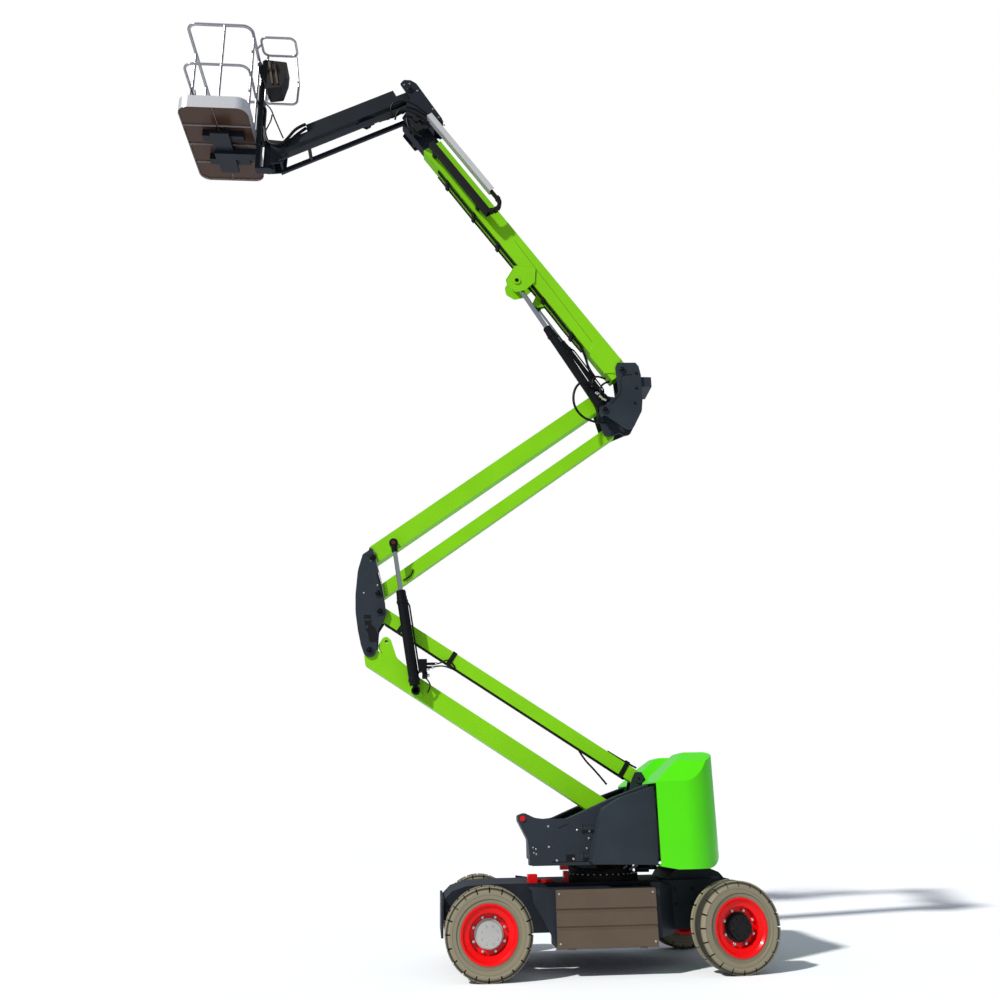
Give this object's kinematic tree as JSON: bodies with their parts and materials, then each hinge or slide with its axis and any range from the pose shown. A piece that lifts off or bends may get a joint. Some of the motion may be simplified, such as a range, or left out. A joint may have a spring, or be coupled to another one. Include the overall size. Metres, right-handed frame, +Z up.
{
  "type": "self-propelled articulated boom lift",
  "caption": "Self-propelled articulated boom lift: wheeled chassis, slewing turret, folding riser arms, telescopic boom, jib and railed work platform.",
  "frame": {"origin": "middle of the footprint on the ground", "axes": "+Z up, +X from the platform side to the counterweight side, +Y to the far side of the picture"},
  "size_m": [5.5752, 1.8772, 9.5731],
  "materials": {
    "chassis_paint": "satin",
    "tray_panels": "satin",
    "battery_case": "matte",
    "red_paint": "gloss",
    "ring_steel": "matte",
    "tyre_rubber": "matte",
    "hub_silver": "satin",
    "hub_black": "satin",
    "slate_paint": "satin",
    "lamp_red": "gloss",
    "hood_green": "gloss",
    "arm_green": "gloss",
    "ram_black": "satin",
    "rod_chrome": "polished",
    "jib_paint": "satin",
    "black_plastic": "matte",
    "aluminium_sheet": "satin",
    "rail_steel": "satin"
  },
  "bodies": {
    "chassis": {"chassis_frame": "chassis_paint", "tray_cases": "chassis_paint", "battery_packs": "battery_case", "deck_lock": "red_paint", "slew_ring": "ring_steel", "drive_axle": "chassis_paint", "steer_axle": "chassis_paint"},
    "tray_door_near": {"tray_front_near": "tray_panels"},
    "tray_door_far": {"tray_front_far": "tray_panels"},
    "wheel_drive_near": {"tyre_drive_near": "tyre_rubber", "rim_drive_near": "red_paint", "hub_drive_near": "hub_silver"},
    "wheel_drive_far": {"tyre_drive_far": "tyre_rubber", "rim_drive_far": "red_paint", "hub_drive_far": "hub_silver"},
    "wheel_steer_near": {"tyre_steer_near": "tyre_rubber", "rim_steer_near": "red_paint", "hub_steer_near": "hub_black"},
    "wheel_steer_far": {"tyre_steer_far": "tyre_rubber", "rim_steer_far": "red_paint", "hub_steer_far": "hub_black"},
    "knuckle_near": {"knuckle_steer_near": "chassis_paint"},
    "knuckle_far": {"knuckle_steer_far": "chassis_paint"},
    "turret": {"turret_bed": "slate_paint", "turret_sides": "slate_paint", "turret_lamps": "lamp_red", "counterweight_hood": "hood_green", "counterweight_cast": "ring_steel"},
    "cover_near": {"turret_cover_near": "slate_paint"},
    "cover_far": {"turret_cover_far": "slate_paint"},
    "lower_arm": {"lower_arm": "arm_green"},
    "lower_link": {"lower_link": "arm_green"},
    "riser_knuckle": {"riser_knuckle": "slate_paint"},
    "upper_arm": {"upper_arm": "arm_green"},
    "upper_link": {"upper_link": "arm_green"},
    "riser_ram_barrel": {"riser_ram_barrel": "ram_black"},
    "riser_ram_rod": {"riser_ram_rod": "rod_chrome"},
    "top_bracket": {"top_bracket": "slate_paint"},
    "lift_ram_barrel": {"lift_ram_barrel": "ram_black"},
    "lift_ram_rod": {"lift_ram_rod": "rod_chrome"},
    "level_ram_barrel": {"level_ram_barrel": "ram_black"},
    "level_ram_rod": {"level_ram_rod": "rod_chrome"},
    "boom": {"outer_boom": "arm_green", "cable_trough": "black_plastic"},
    "fly": {"fly_boom": "arm_green", "fly_head": "slate_paint", "cable_tray": "aluminium_sheet"},
    "cable_chain": {"cable_chain": "black_plastic"},
    "head_bracket": {"head_bracket": "slate_paint"},
    "jib": {"jib_boom": "jib_paint", "jib_cover": "jib_paint"},
    "jib_link": {"jib_link": "jib_paint"},
    "jib_ram_barrel": {"jib_ram_barrel": "ram_black"},
    "jib_ram_rod": {"jib_ram_rod": "rod_chrome"},
    "jib_support": {"jib_support": "jib_paint"},
    "platform": {"platform_frame": "jib_paint", "platform_floor": "aluminium_sheet", "platform_rails": "rail_steel", "control_box": "black_plastic"}
  },
  "joints": [
    {"name": "drive_wheel_near", "type": "hinge", "parent": "chassis", "child": "wheel_drive_near", "pos_m": [0.404, -0.775, 0.354], "axis": [0, 1, 0], "continuous": true},
    {"name": "drive_wheel_far", "type": "hinge", "parent": "chassis", "child": "wheel_drive_far", "pos_m": [0.404, 0.775, 0.354], "axis": [0, 1, 0], "continuous": true},
    {"name": "steer_near", "type": "hinge", "parent": "chassis", "child": "knuckle_near", "pos_m": [2.399, -0.56, 0.354], "axis": [0, 0, 1], "range_deg": [-39, 21]},
    {"name": "steer_far", "type": "hinge", "parent": "chassis", "child": "knuckle_far", "pos_m": [2.399, 0.56, 0.354], "axis": [0, 0, 1], "range_deg": [-39, 21]},
    {"name": "steer_wheel_near", "type": "hinge", "parent": "knuckle_near", "child": "wheel_steer_near", "pos_m": [2.43263, -0.77235, 0.354], "axis": [-0.1564, 0.9877, 0], "continuous": true},
    {"name": "steer_wheel_far", "type": "hinge", "parent": "knuckle_far", "child": "wheel_steer_far", "pos_m": [2.36537, 0.77235, 0.354], "axis": [-0.1564, 0.9877, 0], "continuous": true},
    {"name": "tray_door_near", "type": "hinge", "parent": "chassis", "child": "tray_door_near", "pos_m": [1.37, -0.786, 0.22], "axis": [1, 0, 0], "range_deg": [0, 90]},
    {"name": "tray_door_far", "type": "hinge", "parent": "chassis", "child": "tray_door_far", "pos_m": [1.37, 0.786, 0.22], "axis": [-1, 0, 0], "range_deg": [0, 90]},
    {"name": "slew", "type": "hinge", "parent": "chassis", "child": "turret", "pos_m": [1.469, 0, 0.84], "axis": [0, 0, 1], "range_deg": [-178, 178]},
    {"name": "cover_near", "type": "hinge", "parent": "turret", "child": "cover_near", "pos_m": [1.219, -0.613, 1.1], "axis": [0, 0, -1], "range_deg": [0, 95]},
    {"name": "cover_far", "type": "hinge", "parent": "turret", "child": "cover_far", "pos_m": [1.219, 0.613, 1.1], "axis": [0, 0, 1], "range_deg": [0, 95]},
    {"name": "riser_lift", "type": "hinge", "parent": "turret", "child": "lower_arm", "pos_m": [1.7754, 0.09, 1.1773], "axis": [0, 1, 0], "range_deg": [-33.6, 33]},
    {"name": "lower_link_turn", "type": "hinge", "parent": "turret", "child": "lower_link", "pos_m": [1.8674, 0.09, 1.5503], "axis": [0, 1, 0], "range_deg": [-34.1, 33.5]},
    {"name": "knuckle_turn", "type": "hinge", "parent": "lower_arm", "child": "riser_knuckle", "pos_m": [-0.65398, 0.09, 2.761], "axis": [0, 1, 0], "range_deg": [-33.5, 34.1]},
    {"name": "upper_arm_turn", "type": "hinge", "parent": "riser_knuckle", "child": "upper_arm", "pos_m": [-0.64398, 0.09, 3.668], "axis": [0, 1, 0], "range_deg": [-33.5, 34.1]},
    {"name": "upper_link_turn", "type": "hinge", "parent": "riser_knuckle", "child": "upper_link", "pos_m": [-0.58098, 0.09, 3.313], "axis": [0, 1, 0], "range_deg": [-33.5, 34.1]},
    {"name": "bracket_turn", "type": "hinge", "parent": "upper_arm", "child": "top_bracket", "pos_m": [1.70217, 0.09, 5.37257], "axis": [0, 1, 0], "range_deg": [-34.1, 33.5]},
    {"name": "riser_ram_swing", "type": "hinge", "parent": "lower_arm", "child": "riser_ram_barrel", "pos_m": [-0.20898, -0.062, 2.37], "axis": [0, 1, 0], "range_deg": [-25.39, 25.84]},
    {"name": "riser_ram_stroke", "type": "slide", "parent": "riser_ram_barrel", "child": "riser_ram_rod", "axis": [-0.1595, 0, 0.9872], "range_m": [-0.3367, 0.3308]},
    {"name": "boom_lift", "type": "hinge", "parent": "top_bracket", "child": "boom", "pos_m": [1.91117, -0.09, 5.65597], "axis": [0, 1, 0], "range_deg": [-54.6, 20]},
    {"name": "lift_ram_swing", "type": "hinge", "parent": "top_bracket", "child": "lift_ram_barrel", "pos_m": [1.70817, -0.124, 5.19897], "axis": [0, 1, 0], "range_deg": [-49.53, 18.46]},
    {"name": "lift_ram_stroke", "type": "slide", "parent": "lift_ram_barrel", "child": "lift_ram_rod", "axis": [-0.5062, 0, 0.8624], "range_m": [-0.4286, 0.1583]},
    {"name": "level_ram_swing", "type": "hinge", "parent": "top_bracket", "child": "level_ram_barrel", "pos_m": [1.79417, -0.042, 5.32997], "axis": [0, 1, 0], "range_deg": [-49.91, 18.6]},
    {"name": "level_ram_stroke", "type": "slide", "parent": "level_ram_barrel", "child": "level_ram_rod", "axis": [-0.5497, 0, 0.8354], "range_m": [-0.2985, 0.1106]},
    {"name": "telescope", "type": "slide", "parent": "boom", "child": "fly", "axis": [-0.5793, 0, 0.8151], "range_m": [0, 1.8]},
    {"name": "chain_travel", "type": "slide", "parent": "boom", "child": "cable_chain", "axis": [-0.5793, 0, 0.8151], "range_m": [0, 0.9]},
    {"name": "head_level", "type": "hinge", "parent": "fly", "child": "head_bracket", "pos_m": [-0.34099, -0.09, 9.10006], "axis": [0, 1, 0], "range_deg": [-20.5, 55.1]},
    {"name": "jib_lift", "type": "hinge", "parent": "head_bracket", "child": "jib", "pos_m": [-0.34099, -0.09, 9.10006], "axis": [0, 1, 0], "range_deg": [-21.8, 90.2]},
    {"name": "jib_link_turn", "type": "hinge", "parent": "head_bracket", "child": "jib_link", "pos_m": [-0.34499, -0.09, 8.90006], "axis": [0, 1, 0], "range_deg": [-22.3, 90.7]},
    {"name": "support_turn", "type": "hinge", "parent": "jib", "child": "jib_support", "pos_m": [-1.74899, -0.09, 8.34506], "axis": [0, 1, 0], "range_deg": [-90.7, 22.3]},
    {"name": "jib_ram_swing", "type": "hinge", "parent": "head_bracket", "child": "jib_ram_barrel", "pos_m": [-0.34099, -0.09, 8.97506], "axis": [0, 1, 0], "range_deg": [-21.79, 88.6]},
    {"name": "jib_ram_stroke", "type": "slide", "parent": "jib_ram_barrel", "child": "jib_ram_rod", "axis": [-0.8814, 0, -0.4723], "range_m": [-0.0389, 0.1546]},
    {"name": "platform_turn", "type": "hinge", "parent": "jib_support", "child": "platform", "pos_m": [-1.89399, -0.09, 8.30006], "axis": [0, 0, 1], "range_deg": [-70, 70]}
  ],
  "couplings": [
    {"joint": "lower_link_turn", "follows": "riser_lift", "ratio": 1},
    {"joint": "knuckle_turn", "follows": "riser_lift", "ratio": -1},
    {"joint": "upper_arm_turn", "follows": "riser_lift", "ratio": -1},
    {"joint": "upper_link_turn", "follows": "riser_lift", "ratio": -1},
    {"joint": "bracket_turn", "follows": "riser_lift", "ratio": 1},
    {"joint": "riser_ram_swing", "follows": "riser_lift", "ratio": -0.7542},
    {"joint": "riser_ram_stroke", "follows": "riser_lift", "m_per_rad": 0.57081},
    {"joint": "lift_ram_swing", "follows": "boom_lift", "ratio": 0.8979},
    {"joint": "lift_ram_stroke", "follows": "boom_lift", "m_per_rad": 0.44764},
    {"joint": "level_ram_swing", "follows": "boom_lift", "ratio": 0.9049},
    {"joint": "level_ram_stroke", "follows": "boom_lift", "m_per_rad": 0.31109},
    {"joint": "chain_travel", "follows": "telescope", "ratio": 0.5},
    {"joint": "head_level", "follows": "boom_lift", "ratio": -1},
    {"joint": "jib_link_turn", "follows": "jib_lift", "ratio": 1},
    {"joint": "support_turn", "follows": "jib_lift", "ratio": -1},
    {"joint": "jib_ram_swing", "follows": "jib_lift", "ratio": 0.9767},
    {"joint": "jib_ram_stroke", "follows": "jib_lift", "m_per_rad": 0.09696},
    {"joint": "steer_far", "follows": "steer_near", "ratio": 1}
  ]
}
